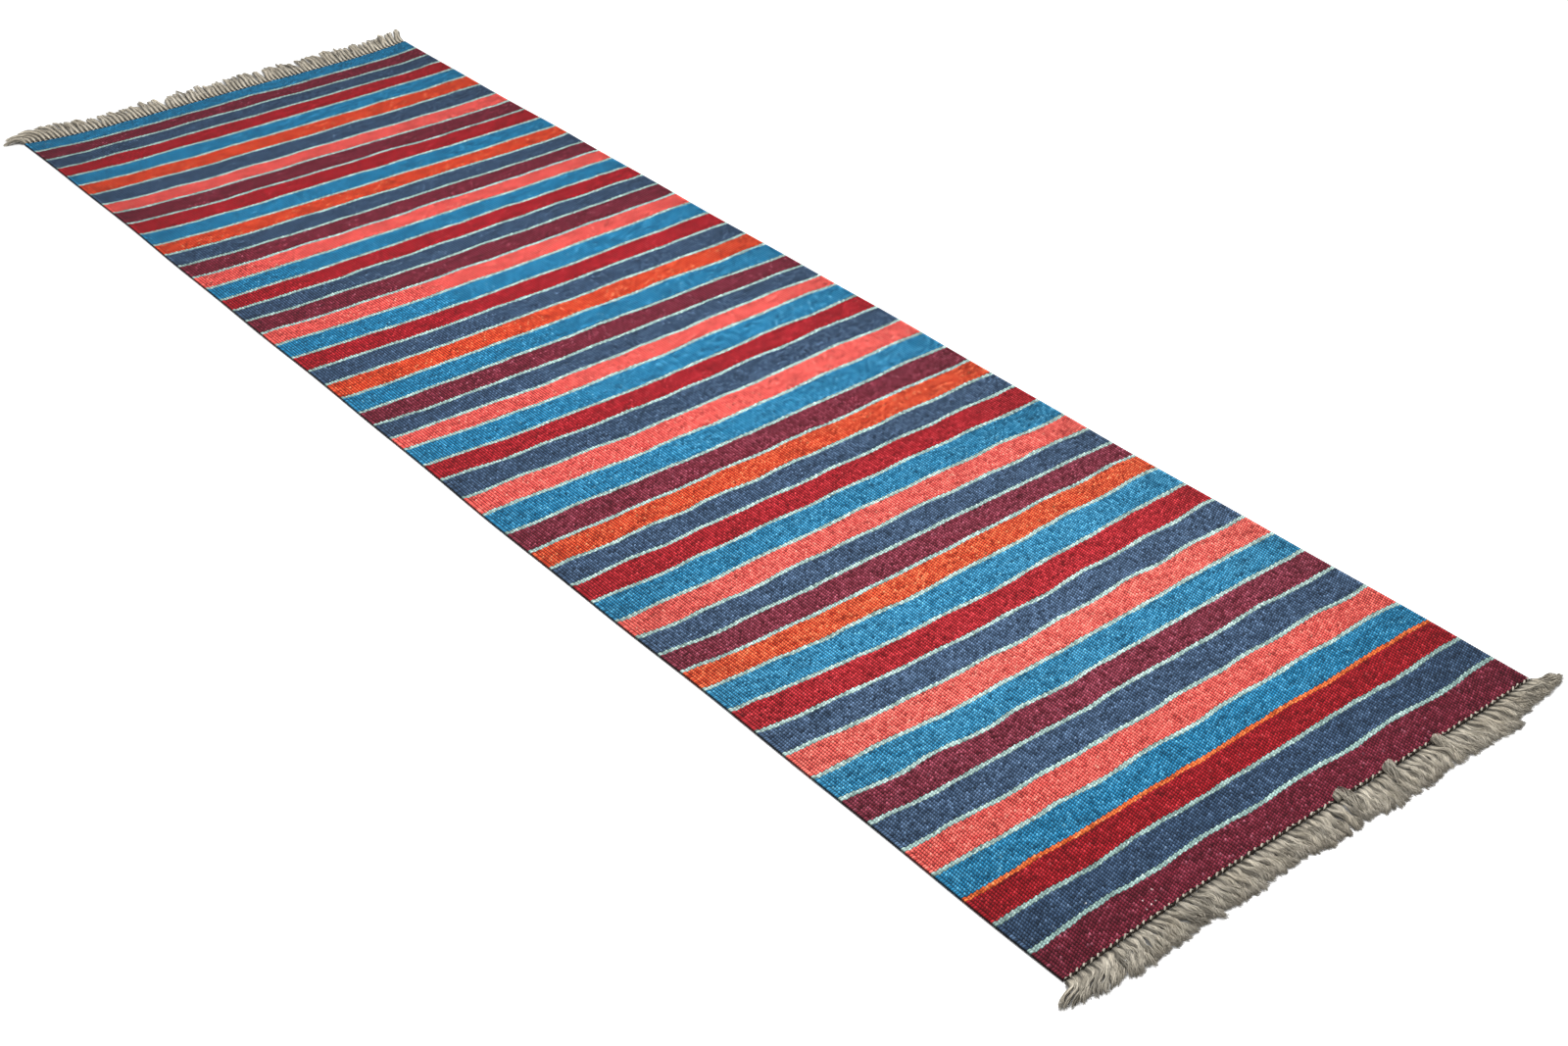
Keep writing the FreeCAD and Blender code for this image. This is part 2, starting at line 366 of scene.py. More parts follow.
def stripe_mesh(near, far, pips, tone, fleck_share):
    """Points, faces and attributes of one stripe of weave between two lines, as a closed sleeve."""
    rows = np.append((np.arange(pips)[:, None] + TOP_PHASES).ravel(), pips)
    profile = np.append(np.tile(TOP_PROFILE, pips), 0.0)
    shape = (pips, COLUMNS.rib.max() + 1)
    size = RANDOM.normal(1.0, PIP_UNEVENNESS, shape)
    share = (np.mean(near) - WEAVE_NEAR) / WEAVE_LENGTH
    pip_tone, pip_pale = pip_looks(share, shape, tone, fleck_share)

    def on_columns(values, pip_numbers):
        return values[np.minimum(pip_numbers, pips - 1)][:, COLUMNS.rib]

    top_pips = rows.astype(int)
    top = stripe_surface(near, far, pips, rows, profile, on_columns(size, top_pips), 1)
    top_tone = on_columns(pip_tone, top_pips) * COLUMNS.shade
    top_pale = on_columns(pip_pale, top_pips)
    # painted shade at the foot of each pip and in the grooves between ribs, painted highlight on the crests
    top_crest = np.interp(profile, (0, 1), TOP_CRESTS)[:, None] * COLUMNS.crest
    for x, y in KNOTS:
        distance = np.hypot(top[..., 0] - x * MM, top[..., 1] - y * MM)
        top_pale[distance < KNOT_RADIUS] = KNOT

    # The underside has one row of vertices for each pip, and leaves out the two side columns
    under_rows = np.arange(pips + 1)
    under_profile = np.full(pips + 1, UNDER_PROFILE)
    plain = np.ones((pips + 1, COLUMNS.count))
    under = stripe_surface(near, far, pips, under_rows, under_profile, plain, -1)[:, 1:-1]
    under_tone = (on_columns(pip_tone, under_rows) * COLUMNS.shade)[:, 1:-1]
    under_pale = on_columns(pip_pale, under_rows)[:, 1:-1]
    under_crest = (UNDER_CREST * COLUMNS.crest * plain)[:, 1:-1]

    top_index = np.arange(top[..., 0].size).reshape(top.shape[:2])
    under_index = top_index.size + np.arange(under[..., 0].size).reshape(under.shape[:2])
    attributes = {
        "tone": np.concatenate([top_tone.ravel(), under_tone.ravel()]),
        "crest": np.concatenate([top_crest.ravel(), under_crest.ravel()]),
        "pale": np.concatenate([top_pale.ravel(), under_pale.ravel()]),
    }
    points = np.concatenate([top.reshape(-1, 3), under.reshape(-1, 3)])
    return (points, *sleeve_faces(top_index, under_index), attributes)


def joined(parts):
    """Several stripe meshes as one."""
    points, quads, triangles, caps = [], [], [], []
    attributes = {key: [] for key in parts[0][4]}
    count = 0
    for part in parts:
        points.append(part[0])
        for kept, new in ((quads, part[1]), (triangles, part[2]), (caps, part[3])):
            kept += [faces + count for faces in new]
        for key, values in part[4].items():
            attributes[key].append(values)
        count += len(part[0])
    attributes = {key: np.concatenate(values) for key, values in attributes.items()}
    return np.concatenate(points), quads, triangles, caps, attributes


def add_weave(name, parts, material):
    """A piece made of one or more stripes."""
    points, quads, triangles, caps, attributes = joined(parts)
    return new_piece(name, points, quads + triangles, material, attributes, caps)


# ---------------------------------------------------------------- materials

# Noise scales, in waves per metre across the rug, along it and up
ROUGHNESS_GRAIN = (900, 2400, 900)
WEFT_STREAKS = (55, 620, 300)
WEFT_PATCHES = (7, 16, 7)
WEFT_FIBRES = (500, 2600, 1500)
WEFT_FUZZ = (700, 3600, 2000)
YARN_STAINS = (30, 30, 30)
YARN_FIBRES = (2200, 500, 2200)
YARN_FUZZ = (3000, 900, 3000)
NOISE_RANGE = (0.3, 0.7)  # most of the values that a noise takes
STREAK_RANGE = (0.42, 0.68)  # the values over which the second shade of the weft comes in
STAIN_RANGE = (0.4, 0.65)
SHARE = (0, 1)

# How much light and finish the materials have
WEFT_ROUGHNESS = 0.9
YARN_ROUGHNESS = 0.85
ROUGHNESS_SPREAD = (-0.1, 0.05)
PATCH_LIGHT = (0.93, 1.07)
WEFT_FIBRE_LIGHT = (0.82, 1.14)
YARN_FIBRE_LIGHT = (0.78, 1.12)
CREST_LIGHT = 1.22  # painted highlight on the crests of the weft
YARN_LIGHT = (0.2, 1.05)  # painted light in the gaps between yarns, and on them
WARP_CREST = 0.8  # how high the hidden warps count for their light
FUZZ_ROUGHNESS = 0.7
WEFT_FUZZ_HEIGHT = 0.25 * MM
YARN_FUZZ_HEIGHT = 0.2 * MM
KNOT_COLOUR = (226, 224, 214)


def node(tree, kind, **settings):
    """A new node, with its properties and the values of its inputs by name."""
    made = tree.nodes.new(kind)
    for key, value in settings.items():
        if hasattr(made, key):
            setattr(made, key, value)
        else:
            made.inputs[key].default_value = value
    return made


def scaled_noise(tree, scale, detail, roughness=0.55):
    """Noise over the object's own coordinates, with a scale for each axis, in waves per metre."""
    coordinates = node(tree, "ShaderNodeTexCoord")
    mapping = node(tree, "ShaderNodeMapping", Scale=scale)
    noise = node(tree, "ShaderNodeTexNoise", Scale=1.0, Detail=detail, Roughness=roughness)
    tree.links.new(coordinates.outputs["Object"], mapping.inputs["Vector"])
    tree.links.new(mapping.outputs[0], noise.inputs["Vector"])
    return noise.outputs["Fac"]


def ranged(tree, value, source, target):
    """A value taken from one range, clamped, to another."""
    mapped = node(tree, "ShaderNodeMapRange")
    for socket, limit in zip(("From Min", "From Max", "To Min", "To Max"), (*source, *target)):
        mapped.inputs[socket].default_value = limit
    tree.links.new(value, mapped.inputs["Value"])
    return mapped.outputs[0]


def product(tree, first, second):
    maths = node(tree, "ShaderNodeMath", operation="MULTIPLY")
    tree.links.new(first, maths.inputs[0])
    tree.links.new(second, maths.inputs[1])
    return maths.outputs[0]


def attribute(tree, name):
    return node(tree, "ShaderNodeAttribute", attribute_name=name).outputs["Fac"]


def linear(colour):
    """An sRGB colour of whole numbers up to 255, as linear light."""
    shares = [c / 255 for c in colour]
    return [s / 12.92 if s <= 0.04045 else ((s + 0.055) / 1.055) ** 2.4 for s in shares] + [1.0]


def mixed(tree, factor, first, second):
    """A mix of two colours, each a value or a node's output."""
    mix = node(tree, "ShaderNodeMix", data_type="RGBA")
    for socket, value in ((mix.inputs[0], factor), (mix.inputs[6], first), (mix.inputs[7], second)):
        if isinstance(value, bpy.types.NodeSocket):
            tree.links.new(value, socket)
        else:
            socket.default_value = value
    return mix.outputs[2]


def shaded(tree, colour, light):
    """A colour made lighter or darker by a number."""
    scale = node(tree, "ShaderNodeVectorMath", operation="SCALE")
    tree.links.new(colour, scale.inputs[0])
    tree.links.new(light, scale.inputs["Scale"])
    return scale.outputs[0]


def cloth_shader(name, roughness):
    """A new material with a dull, slightly uneven finish, and its shader."""
    material = bpy.data.materials.new(name)
    material.use_nodes = True
    tree = material.node_tree
    shader = tree.nodes["Principled BSDF"]
    shader.inputs["Sheen Weight"].default_value = 0.04
    shader.inputs["Sheen Roughness"].default_value = 0.5
    shader.inputs["Specular IOR Level"].default_value = 0.1
    grain = scaled_noise(tree, ROUGHNESS_GRAIN, 2)
    level = ranged(tree, grain, NOISE_RANGE, [roughness + change for change in ROUGHNESS_SPREAD])
    tree.links.new(level, shader.inputs["Roughness"])
    return material, shader


def add_bump(tree, shader, heights, distance):
    bump = node(tree, "ShaderNodeBump", Strength=1.0, Distance=distance)
    tree.links.new(heights, bump.inputs["Height"])
    tree.links.new(bump.outputs[0], shader.inputs["Normal"])


def weft_material(name, colour, streak, fleck, groove_light):
    """Dyed yarn beaten into a weave: streaks of a second shade, paler pips, knots, painted shade in the
    grooves and painted highlights on the crests.
    """
    material, shader = cloth_shader(name, WEFT_ROUGHNESS)
    tree = material.node_tree
    streaks = ranged(tree, scaled_noise(tree, WEFT_STREAKS, 3), STREAK_RANGE, SHARE)
    patches = ranged(tree, scaled_noise(tree, WEFT_PATCHES, 2), NOISE_RANGE, PATCH_LIGHT)
    fibres = ranged(tree, scaled_noise(tree, WEFT_FIBRES, 3), NOISE_RANGE, WEFT_FIBRE_LIGHT)
    body = mixed(tree, streaks, linear(colour), linear(streak))
    # pale holds flecks, knots, each pip's own paleness and painted sheen, which mixes in the fleck colour
    is_fleck = ranged(tree, attribute(tree, "pale"), FLECK_RANGE, SHARE)
    is_knot = ranged(tree, attribute(tree, "pale"), KNOT_RANGE, SHARE)
    knotted = mixed(tree, is_knot, mixed(tree, is_fleck, body, linear(fleck)), linear(KNOT_COLOUR))
    light = product(tree, product(tree, attribute(tree, "tone"), patches), fibres)
    groove = ranged(tree, attribute(tree, "crest"), SHARE, (groove_light, CREST_LIGHT))
    tree.links.new(shaded(tree, knotted, product(tree, light, groove)), shader.inputs["Base Color"])
    add_bump(tree, shader, scaled_noise(tree, WEFT_FUZZ, 3, FUZZ_ROUGHNESS), WEFT_FUZZ_HEIGHT)
    return material


WEFTS = {
    # colour, colour of the streaks, colour of the palest pips, painted light left in the grooves, share of
    # flecks
    "teal": ((20, 110, 154), (38, 134, 180), (90, 162, 194), 0.12, 0.006),
    "navy": ((48, 70, 98), (62, 86, 114), (96, 120, 150), 0.12, 0.008),
    "plum": ((106, 27, 44), (124, 36, 54), (160, 80, 98), 0.12, 0.014),
    "crimson": ((156, 16, 30), (172, 28, 38), (196, 62, 68), 0.12, 0.008),
    "coral": ((230, 80, 76), (238, 98, 89), (244, 136, 120), 0.12, 0.016),
    "orange": ((204, 54, 27), (220, 80, 43), (234, 126, 84), 0.12, 0.03),
    "pale": ((142, 174, 168), (160, 188, 183), (182, 202, 197), 0.42, 0.03),
    "orange_stripe": ((226, 92, 36), (234, 116, 58), (242, 150, 96), 0.3, 0.04),
}
MATERIALS = {dye: weft_material(f"{dye}_weft", *look[:-1]) for dye, look in WEFTS.items()}


def yarn_material(name, colour, streak):
    """Undyed or dark yarn: fine fibres along it, stains in long patches, and painted light and shade from its
    crest attribute.
    """
    material, shader = cloth_shader(name, YARN_ROUGHNESS)
    tree = material.node_tree
    stains = ranged(tree, scaled_noise(tree, YARN_STAINS, 3), STAIN_RANGE, SHARE)
    fibres = ranged(tree, scaled_noise(tree, YARN_FIBRES, 3), NOISE_RANGE, YARN_FIBRE_LIGHT)
    body = mixed(tree, stains, linear(colour), linear(streak))
    groove = ranged(tree, attribute(tree, "crest"), SHARE, YARN_LIGHT)
    light = product(tree, product(tree, attribute(tree, "tone"), fibres), groove)
    tree.links.new(shaded(tree, body, light), shader.inputs["Base Color"])
    add_bump(tree, shader, scaled_noise(tree, YARN_FUZZ, 3, FUZZ_ROUGHNESS), YARN_FUZZ_HEIGHT)
    return material


MATERIALS["warp"] = yarn_material("warp_yarn", (186, 179, 165), (168, 160, 145))
MATERIALS["twining"] = yarn_material("twining_cord", (178, 170, 156), (158, 150, 136))
MATERIALS["dark_twining"] = yarn_material("dark_twining_cord", (26, 20, 14), (34, 27, 20))


# ---------------------------------------------------------------- the woven stripes

def dyed_stripe(near, far, pips, dye):
    """The mesh of one stripe, a little lighter or darker than the last of its colour."""
    *_, fleck_share = WEFTS[dye]
    return stripe_mesh(near, far, pips, RANDOM.uniform(*STRIPE_TONES), fleck_share)


def add_band(node_name, near, far):
    """One band of weft, and its width along the rug."""
    colour = node_name.split("_")[2]
    width = float(np.mean(far - near))
    stripe = dyed_stripe(near, far, round(width / PIP), colour)
    band = add_weave(node_name.replace("band", "weft"), [stripe], MATERIALS[colour])
    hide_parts(node_name)
    return band, width


def add_orange_pinstripe(stripe):
    orange = add_weave("orange_pinstripe_weft", [stripe], MATERIALS["orange_stripe"])
    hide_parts("orange_pinstripe")
    return orange


def add_pale_pinstripes(pale):
    """The pale pinstripes in three pieces, each with the width of its stripes together."""
    pinstripes = []
    size = math.ceil(len(pale) / len(PINSTRIPE_PIECES))
    for number, name in enumerate(PINSTRIPE_PIECES):
        stripes = pale[number * size:(number + 1) * size]
        piece = add_weave(f"pinstripes_{name}", stripes, MATERIALS["pale"])
        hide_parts("pale_pinstripes")
        pinstripes.append((piece, len(stripes) * PINSTRIPE_PIPS * PIP))
    return pinstripes


def add_stripes():
    """Every band, the pale pinstripes, the orange one, and the band that the orange one goes with."""
    lines = stripe_boundaries()
    orange_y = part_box("orange_pinstripe")[0].y
    bands = []
    pale = []
    for number, node_name in enumerate(BAND_NODES):
        far, near = lines[2 * number], lines[2 * number + 1]
        bands.append(add_band(node_name, near, far))
        if node_name == BAND_NODES[-1]:
            break
        low = lines[2 * number + 2]
        if abs(low.mean() - orange_y) < PIP:
            orange = add_orange_pinstripe(dyed_stripe(low, near, PINSTRIPE_PIPS, "orange_stripe"))
            orange_neighbour = bands[-1][0]
        else:
            pale.append(dyed_stripe(low, near, PINSTRIPE_PIPS, "pale"))
    return bands, add_pale_pinstripes(pale), orange, orange_neighbour


# ---------------------------------------------------------------- yarns, twining and fringes

def tube_points(paths, radii, sides, reference):
    """Rings of points round many paths, given as paths by steps by 3; reference isn't along any path."""
    along = np.gradient(paths, axis=1)
    along /= np.linalg.norm(along, axis=2, keepdims=True)
    across = reference - (along @ reference)[..., None] * along
    across /= np.linalg.norm(across, axis=2, keepdims=True)
    other = np.cross(along, across)
    turns = 2 * np.pi * np.arange(sides) / sides
    ring = np.cos(turns)[:, None] * across[..., None, :] + np.sin(turns)[:, None] * other[..., None, :]
    return paths[:, :, None, :] + radii[..., None, None] * ring


def add_tubes(name, paths, radii, sides, reference, material, attributes):
    """One piece made of closed tubes; each attribute has one value for each step of each path."""
    points = tube_points(paths, np.broadcast_to(radii, paths.shape[:2]), sides, np.array(reference, float))
    index = np.arange(points.size // 3).reshape(points.shape[:3])
    low, high = index[:, :-1], index[:, 1:]
    faces = np.stack([low, np.roll(low, -1, axis=2), np.roll(high, -1, axis=2), high], axis=-1).reshape(-1, 4)
    spread = {
        key: np.repeat(np.broadcast_to(values, paths.shape[:2]).ravel(), sides)
        for key, values in attributes.items()
    }
    ends = [index[:, 0, ::-1], index[:, -1]]
    return new_piece(name, points.reshape(-1, 3), [faces], material, spread, ends)


def end_line(x, outwards):
    """The Y of the last row of weft, at the far end (outwards 1) or the near end (-1)."""
    straight = WEAVE_FAR if outwards > 0 else WEAVE_NEAR
    return straight + bow(x, np.full(np.shape(x), straight))


def tassel_places(ribs_in_each):
    """The X of every tassel: one for each edge cord, and one for each group of ribs."""
    places = [-EDGE_CORD_X]
    used = 0
    while used < RIB_COUNT:
        ribs = ribs_in_each[(len(places) - 1) % len(ribs_in_each)]
        places.append(RIBS_LEFT + (used + ribs / 2) * RIB_PITCH)
        used += ribs
    return np.array(places + [EDGE_CORD_X])


def add_warps():
    """The yarns inside the weave: one under each rib, and a thicker cord in each selvedge."""
    ribs = RIBS_LEFT + (np.arange(RIB_COUNT) + 0.5) * RIB_PITCH
    edges = np.array([-EDGE_CORD_X, EDGE_CORD_X])
    share = np.linspace(0, 1, WARP_STEPS)
    for name, node_name, x, radius in (
        ("warps_inside", "warp_yarns", ribs, WARP_RADIUS),
        ("edge_cords_inside", "selvedge_cords", edges, EDGE_CORD_RADIUS),
    ):
        near = end_line(x, -1) - TWINING_WIDTH / 2
        far = end_line(x, 1) + TWINING_WIDTH / 2
        y = near[:, None] + share * (far - near)[:, None]
        across = x[:, None] + edge_shift(x[:, None], y)
        paths = np.stack([across, y, THICKNESS / 2 + lift(across, y)], axis=-1)
        looks = {"tone": 1.0, "crest": WARP_CREST}
        piece = add_tubes(name, paths, radius, WARP_SIDES, (1, 0, 0), MATERIALS["warp"], looks)
        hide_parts(node_name)


def add_twining(end, outwards, tassels):
    """A cream and a dark strand wound round each other along one end, one turn for each tassel."""
    turns = len(tassels)
    position = np.arange(turns * TWINING_TURN_STEPS + 1) / TWINING_TURN_STEPS - 0.5
    x = np.interp(position, np.arange(turns), tassels)
    x = np.clip(x, TWINING_MARGIN - HALF_WIDTH, HALF_WIDTH - TWINING_MARGIN)
    pieces = []
    for name, material, phase, near_reach, far_reach, swing, middle, rise, radius in TWINING_STRANDS:
        reach = far_reach if outwards > 0 else near_reach
        angle = 2 * np.pi * position + phase
        angle += TWINING_ANGLE_SPREAD * smooth_noise(len(position), TWINING_DRIFT_WAVES)
        y = end_line(x, outwards) + outwards * reach - swing * np.cos(angle)
        y += TWINING_DRIFT * smooth_noise(len(position), TWINING_DRIFT_WAVES)
        z = middle + rise * np.sin(angle)
        paths = np.stack([x + edge_shift(x, y), y, z], axis=-1)[None]
        tone = 1 + TWINING_TONE * smooth_noise(len(position), TWINING_TONE_WAVES)
        looks = {"tone": tone, "crest": TWINING_CREST}
        piece_name = f"{end}_twining_{name}"
        piece = add_tubes(piece_name, paths, radius, TWINING_SIDES, (0, 1, 0), MATERIALS[material], looks)
        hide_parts("end_twining")
        pieces.append(piece)
    return pieces


def clumps(count, sizes):
    """The number of the clump that each of a row of tassels belongs to."""
    numbers = []
    while len(numbers) < count:
        numbers += [numbers[-1] + 1 if numbers else 0] * int(RANDOM.integers(sizes[0], sizes[1] + 1))
    return np.array(numbers[:count])


def eased(value):
    """A share from 0 to 1 that starts and ends softly."""
    value = np.clip(value, 0, 1)
    return value * value * (3 - 2 * value)


def from_table(table, x):
    """Values for places across the rug from rows of (share of the width, value)."""
    return np.interp((x / HALF_WIDTH + 1) / 2, [row[0] for row in table], [row[1] for row in table])


FRINGE_STEPS = 14
FRINGE_SHARE = np.linspace(0, 1, FRINGE_STEPS)
LIGHT_PLACES = [0, 0.06, 0.16, 0.5, 0.8, 1]
DEPTHS = [0.5 * MM, 3 * MM, 6 * MM]
ROOT_REACH = 0.6 * MM  # how far past the last weft the strands start
ROOT_SPREAD = 0.4 * MM
SQUEEZE = 0.34  # how far the strands of a tassel are drawn together at the root, as a share of their offset
SQUEEZE_REACH = 0.13  # the share of their length over which they part
LEAN_REACH = 0.45  # the share of their length over which they turn to their lean
GATHER_REACH = 20 * MM  # how far from its clump's middle a strand leans back by the whole of `gather`
SWAY_TURNS = 1.3  # how many times a strand sways along its length
SWAY_REACH = 0.3
SWAY_PHASES = (0.5, 0.05)  # how the sway's phase differs along the fringe, and from strand to strand
SWAY_WAVES = 14
LENGTH_SPREAD = 0.04
ROOT_HEIGHT = 2.4  # heights along a strand, in mm, before its place in the width changes them
SHOULDER_HEIGHT = (5.0, 0.3)  # just past the twining: the mean and the spread
RISE_SPREAD = 0.9
INNER_ADDED = 1.3  # added to the height of its clump, further out
INNER_LIMITS = (2, 7.5)
MIDDLE_ADDED = (0.3, 0.9)
MIDDLE_LIMITS = (1.4, 7.5)
OUTER_SHARE = 0.75
OUTER_LIMITS = (1.2, 6)
TIP_HEIGHT = (1.7, 0.6)
TIP_LIMITS = (0.9, 3.5)
TONE_SPREADS = (0.12, 0.18)  # from strand to strand, and from filament to filament
CORE = ([0, 0.3], [0.5, 1])  # how narrow a tassel is near its root: share of its length, of its width
THINNING = ([0, 0.5, 0.85, 1], [1.0, 1.0, 0.9, 0.5])  # share of a filament's length, of its thickness
GOLDEN_TURN = 0.382  # the turn from one filament to the next that spreads them evenly
FILAMENT_SIDES = 3
FILAMENT_SWAY = 0.6
FILAMENT_SWAY_TURNS = 1.7
FILAMENT_SWAY_REACH = 0.5
FILAMENT_SPREAD = (0.85, 0.3)  # the least share of its own spread that a filament takes, and the most it adds
FLATTENING = 0.6  # how high a strand's section is against its width
SKEW = 0.3  # how far a filament that lies to one side lies further along
FILAMENT_HEIGHTS = (0.55 * MM, 11 * MM)  # the lowest and the highest that a filament's middle may lie

# The looks of a fringe. Each tassel has so many strands, and each strand so many filaments. Each row of a
# table over the width starts with the share of the width from the left. The lean is in degrees, to the right
# positive; reach, puff and fullness are shares of the length, the height and the spread.
NEAR_FRINGE = {
    "outwards": -1,
    "strands": 4,
    "strand_gap": 2.4 * MM,
    "filaments": 19,
    "clump_sizes": (1, 3),
    "clump_lean": math.radians(3),
    "strand_lean": math.radians(4),
    "gather": 0.0,
    "wave": 0.42,
    "length": 44 * MM,
    "clump_length": 0.05,
    "lean": [
        (0.00, -60), (0.02, -54), (0.05, -40), (0.09, -14), (0.13, 4), (0.17, 22), (0.22, 36), (0.26, 20),
        (0.33, 18), (0.42, 22), (0.47, 10), (0.55, 4), (0.60, -10), (0.66, 20), (0.72, 2), (0.78, 26),
        (0.86, 22), (0.92, 42), (0.96, 58), (1.00, 74),
    ],
    "reach": [(0.00, 0.8), (0.03, 0.95), (0.97, 1.0), (1.00, 0.95)],
    "puff": [(0.00, 1.3), (0.07, 1.1), (0.12, 1.0), (0.90, 1.0), (0.96, 1.4), (1.00, 1.5)],
    "mat": (2.5, 5.0),  # how high the clumps lie, in mm
    "fullness": [(0.00, 2.1), (0.06, 1.7), (0.12, 1.3), (0.95, 1.25), (1.00, 1.5)],
    "spread": [1.2, 1.3, 2.0, 2.9, 3.4, 3.6],  # how far filaments lie from their strand's middle, in mm
    "twist": 1.0,
    "shortest": 0.9,
    "radius": 0.46 * MM,
    "tone": 1.08,
    "light": [0.2, 0.66, 0.94, 0.94, 1.0, 0.66],  # painted light from the root to the tip, at the shares in LIGHT_PLACES
    "depth_light": [0.4, 0.8, 1.0],  # painted shade near the floor, at the heights in DEPTHS
    "tassel": (2.6 * MM, 5.2 * MM),  # how far from a tassel's middle the painted shade between tassels starts, and is darkest
    "gap_dark": (1.0, 0.25),  # how dark that painted shade gets, at the root and at the tip
}
FAR_FRINGE = {
    "outwards": 1,
    "strands": 3,
    "strand_gap": 2.2 * MM,
    "filaments": 18,
    "clump_sizes": (1, 2),
    "clump_lean": math.radians(3),
    "strand_lean": math.radians(3),
    "gather": 0.2,
    "wave": 0.12,
    "length": 59 * MM,
    "clump_length": 0.06,
    "lean": [
        (0.00, -74), (0.02, -62), (0.04, -44), (0.07, -18), (0.11, 3), (0.18, 1), (0.24, -2), (0.30, 3),
        (0.40, 10), (0.52, 8), (0.60, 10), (0.70, 0), (0.80, 10), (0.90, 14), (0.97, 18), (1.00, 30),
    ],
    "reach": [
        (0.00, 0.66), (0.02, 0.84), (0.05, 1.0), (0.10, 1.1), (0.22, 0.9), (0.50, 1.0), (0.90, 1.02),
        (1.00, 1.1),
    ],
    "puff": [(0.00, 1.4), (0.05, 1.5), (0.12, 1.0), (1.00, 1.0)],
    "mat": (3.5, 6.0),
    "fullness": [(0.00, 1.8), (0.05, 1.5), (0.10, 1.0), (1.00, 1.0)],
    "spread": [1.3, 1.7, 2.1, 2.3, 2.2, 1.7],
    "twist": 0.4,
    "shortest": 0.88,
    "radius": 0.52 * MM,
    "tone": 1.46,
    "light": [0.85, 1.0, 0.82, 0.82, 1.0, 1.0],
    "depth_light": [0.9, 1.0, 1.0],
    "tassel": (1.2 * MM, 3.6 * MM),
    "gap_dark": (0.95, 0.65),
}
FOLDED_BACK = [  # tassels that lie back over the last band: X, how far over, and how far sideways they go
    (0.040, 11 * MM, 13 * MM),
    (0.131, 8 * MM, -9 * MM),
    (0.196, 6 * MM, 5 * MM),
]
FOLD = [  # share of the tassel's length, of the way sideways and of the way over, then extra Y, and height
    (0.00, 0.0, 0.0, 0 * MM, 2.3 * MM),
    (0.12, 0.0, 0.0, -3 * MM, 5.2 * MM),
    (0.30, 0.1, 0.7, 0 * MM, 7.6 * MM),
    (0.48, 0.7, 1.0, 0 * MM, 8.0 * MM),
    (0.70, 1.0, 0.0, -6 * MM, 7.4 * MM),
    (1.00, 1.3, 0.0, -28 * MM, 3.0 * MM),
]
FOLD_OVER = (0.75, 1.1)  # how much of its way over, and sideways, each strand goes
FOLD_SIDEWAYS = (0.7, 1.2)
FOLD_FULLNESS = 2.2


def strand_paths(x, squeeze, root, length, lean, heights, look):
    """Centre lines of strands that leave the twining straight and then lean; heights are Z along each."""
    share = FRINGE_SHARE
    step = length[:, None] / (FRINGE_STEPS - 1)
    together, apart = SWAY_PHASES
    phase = (together * smooth_noise(len(x), SWAY_WAVES) + RANDOM.normal(0, apart, len(x)))[:, None]
    heading = lean[:, None] * eased(share / LEAN_REACH)
    heading += look["wave"] * np.sin(2 * np.pi * (SWAY_TURNS * share + phase)) * eased(share / SWAY_REACH)
    run_x = np.cumsum(np.sin(heading) * step, axis=1) - squeeze[:, None] * (1 - eased(share / SQUEEZE_REACH))
    run_y = np.cumsum(np.cos(heading) * step, axis=1)
    knots = np.linspace(0, 1, heights.shape[1])
    z = np.array([np.interp(share, knots, row) for row in heights])
    return np.stack([x[:, None] + run_x, root[:, None] + look["outwards"] * run_y, z], axis=-1)


def fold_back(paths, places, fullness):
    """A few tassels bend back over the weave, loose and fluffy, before they fall outwards again."""
    keys, sideways_share, over_share, along, height = np.array(FOLD).T
    for place, over, sideways in FOLDED_BACK:
        nearest = places[np.argmin(abs(places - place))]
        for row in np.flatnonzero(places == nearest)[::2]:
            y = over * RANDOM.uniform(*FOLD_OVER)
            x = sideways * RANDOM.uniform(*FOLD_SIDEWAYS)
            paths[row, :, 0] = paths[row, 0, 0] + np.interp(FRINGE_SHARE, keys, sideways_share * x)
            paths[row, :, 1] = paths[row, 0, 1] + np.interp(FRINGE_SHARE, keys, over_share * y + along)
            paths[row, :, 2] = np.interp(FRINGE_SHARE, keys, height)
            fullness[row] = FOLD_FULLNESS


def filaments(strands, fullness, look):
    """Splits each strand into filaments that twist round it and part towards its tip."""
    count, each = len(strands), look["filaments"]
    at = FRINGE_SHARE * RANDOM.uniform(look["shortest"], 1.0, (count, each, 1))
    low = np.minimum((at * (FRINGE_STEPS - 1)).astype(int), FRINGE_STEPS - 2)
    part = (at * (FRINGE_STEPS - 1) - low)[..., None]
    which = np.arange(count)[:, None, None]
    centre = strands[which, low] * (1 - part) + strands[which, low + 1] * part

    number = np.arange(each)[None, :, None]
    own = RANDOM.random((count, each, 1))
    angle = 2 * np.pi * (number * GOLDEN_TURN + own[:, :1] + look["twist"] * at)
    sway = np.sin(2 * np.pi * (FILAMENT_SWAY_TURNS * at + own)) * eased(at / FILAMENT_SWAY_REACH)
    angle = angle + FILAMENT_SWAY * sway
    spread = np.interp(at, np.linspace(0, 1, len(look["spread"])), look["spread"]) * MM
    least, more = FILAMENT_SPREAD
    out = np.sqrt((number + 0.5) / each) * spread * (least + more * own) * fullness[:, None, None]
    sideways = out * np.cos(angle)
    up = FLATTENING * out * np.sin(angle)
    bent = centre + np.stack([sideways, SKEW * sideways, up], axis=-1)
    bent[..., 2] = np.clip(bent[..., 2], *FILAMENT_HEIGHTS)
    return bent.reshape(count * each, FRINGE_STEPS, 3)


